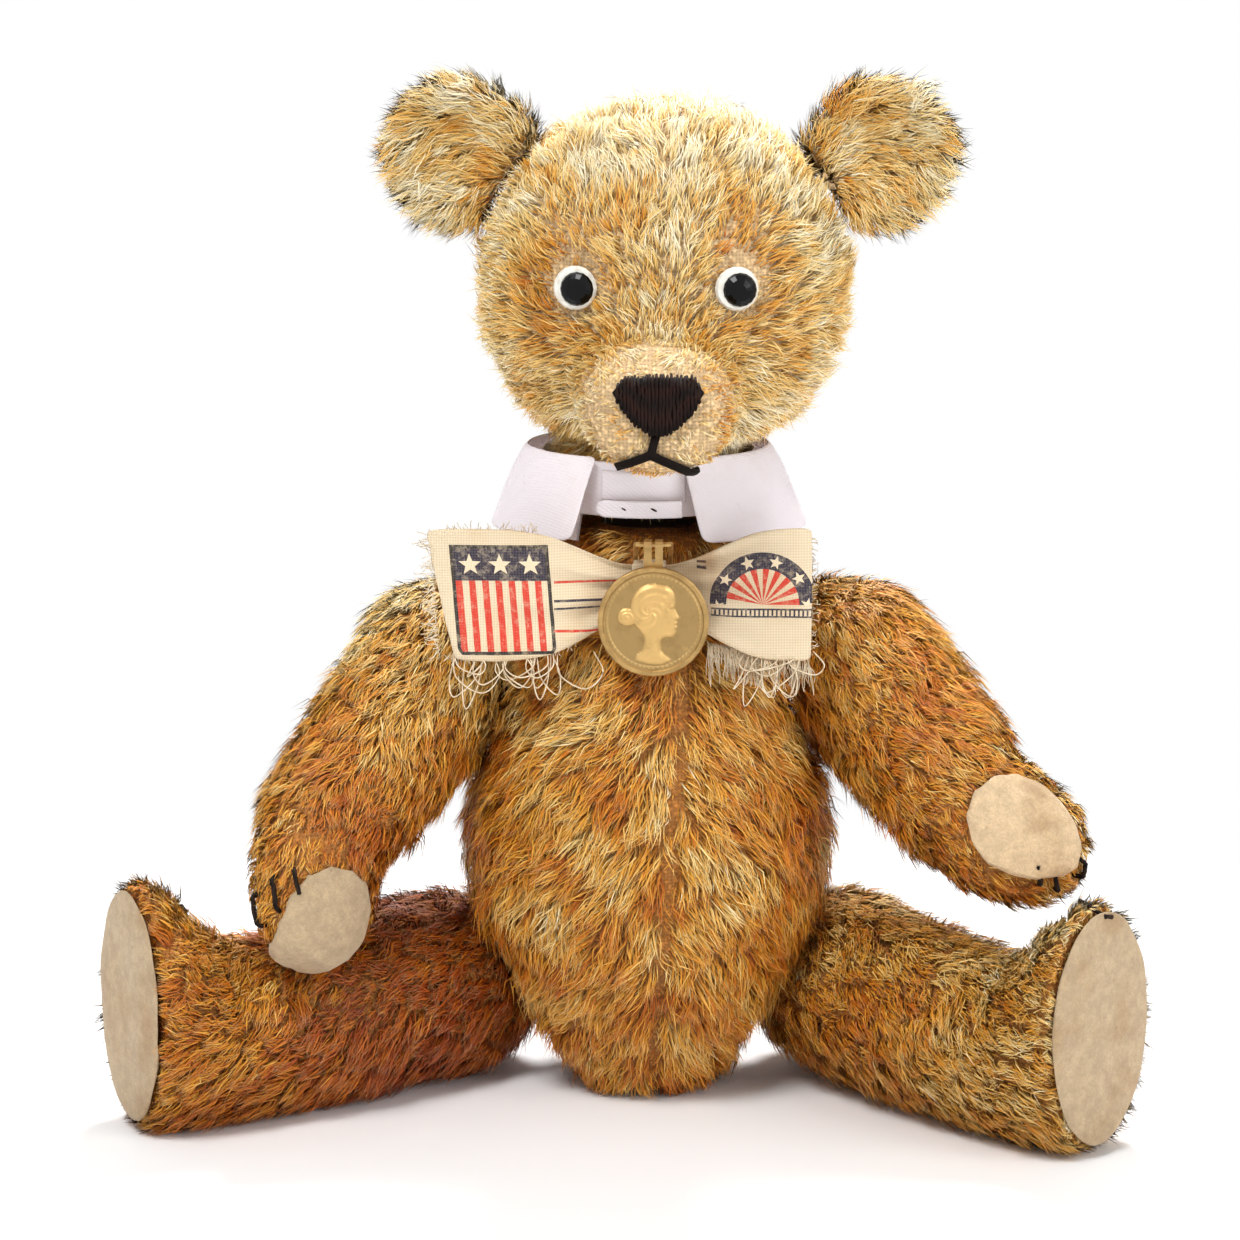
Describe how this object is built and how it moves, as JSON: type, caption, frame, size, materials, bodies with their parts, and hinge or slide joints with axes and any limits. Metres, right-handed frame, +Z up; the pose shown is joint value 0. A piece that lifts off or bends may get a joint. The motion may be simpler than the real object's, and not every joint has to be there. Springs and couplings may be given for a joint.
{
  "type": "jointed teddy bear",
  "caption": "Seated mohair teddy bear with a disc-jointed head, arms and legs, felt pads, a shirt collar, a printed bow and a hanging medallion.",
  "frame": {"origin": "middle of the flat patch the torso sits on, on the floor", "axes": "the bear faces -Y, +Z is up, and +X is to the right seen from the front"},
  "size_m": [0.2909, 0.1347, 0.287],
  "materials": {
    "cinnamon_mohair": "worn pile",
    "gold_mohair": "worn pile",
    "beige_felt": "matt",
    "hardboard": "matt",
    "dull_steel": "dull",
    "worn_brass": "worn",
    "coin_brass": "worn",
    "eye_white": "gloss",
    "eye_black": "gloss",
    "dark_thread": "sewn thread",
    "white_cotton": "matt",
    "cream_cloth": "matt"
  },
  "bodies": {
    "body": {"bow": "cream_cloth", "bow_wrap": "cream_cloth", "collar_band": "white_cotton", "collar_leaf": "white_cotton", "hip_left_body_disc": "hardboard", "hip_left_body_washer": "dull_steel", "hip_left_pin": "dull_steel", "hip_right_body_disc": "hardboard", "hip_right_body_washer": "dull_steel", "hip_right_pin": "dull_steel", "hook_pin": "dull_steel", "neck_body_disc": "hardboard", "neck_body_washer": "dull_steel", "neck_pin": "dull_steel", "shoulder_left_body_disc": "hardboard", "shoulder_left_body_washer": "dull_steel", "shoulder_left_pin": "dull_steel", "shoulder_right_body_disc": "hardboard", "shoulder_right_body_washer": "dull_steel", "shoulder_right_pin": "dull_steel", "torso": "cinnamon_mohair"},
    "head": {"ear_left": "gold_mohair", "ear_right": "gold_mohair", "eye_button_left": "eye_white", "eye_button_right": "eye_white", "eye_pupil_left": "eye_black", "eye_pupil_right": "eye_black", "head": "gold_mohair", "mouth": "dark_thread", "neck_head_disc": "hardboard", "neck_head_washer": "dull_steel", "nose": "dark_thread"},
    "arm_left_body": {"arm_left": "cinnamon_mohair", "hand_pad_left": "beige_felt", "shoulder_left_arm_disc": "hardboard", "shoulder_left_arm_washer": "dull_steel"},
    "arm_right_body": {"arm_right": "cinnamon_mohair", "hand_pad_right": "beige_felt", "shoulder_right_arm_disc": "hardboard", "shoulder_right_arm_washer": "dull_steel"},
    "leg_left_body": {"foot_pad_left": "beige_felt", "hip_left_leg_disc": "hardboard", "hip_left_leg_washer": "dull_steel", "leg_left": "cinnamon_mohair"},
    "leg_right_body": {"foot_pad_right": "beige_felt", "hip_right_leg_disc": "hardboard", "hip_right_leg_washer": "dull_steel", "leg_right": "cinnamon_mohair"},
    "medallion_body": {"medallion": "coin_brass", "medallion_bail": "worn_brass"}
  },
  "joints": [
    {"name": "neck_turn", "type": "hinge", "parent": "body", "child": "head", "pos_m": [0, 0, 0.166], "axis": [0, 0, 1], "continuous": true},
    {"name": "shoulder_left_turn", "type": "hinge", "parent": "body", "child": "arm_left_body", "pos_m": [-0.03948, 0, 0.121], "axis": [-0.9865, 0.0863, 0.1392], "range_deg": [0, 60]},
    {"name": "shoulder_right_turn", "type": "hinge", "parent": "body", "child": "arm_right_body", "pos_m": [0.03948, 0, 0.121], "axis": [-0.9865, -0.0863, -0.1392], "range_deg": [0, 180]},
    {"name": "hip_left_turn", "type": "hinge", "parent": "body", "child": "leg_left_body", "pos_m": [-0.03639, 0.00907, 0.03581], "axis": [-0.8645, 0.2156, -0.454], "range_deg": [-95, 0]},
    {"name": "hip_right_turn", "type": "hinge", "parent": "body", "child": "leg_right_body", "pos_m": [0.03639, 0.00907, 0.03581], "axis": [-0.8645, -0.2156, 0.454], "range_deg": [-95, 0]},
    {"name": "medallion_swing", "type": "hinge", "parent": "body", "child": "medallion_body", "pos_m": [0.0011, -0.0455, 0.165], "axis": [-1, 0, 0], "range_deg": [0, 65]}
  ]
}
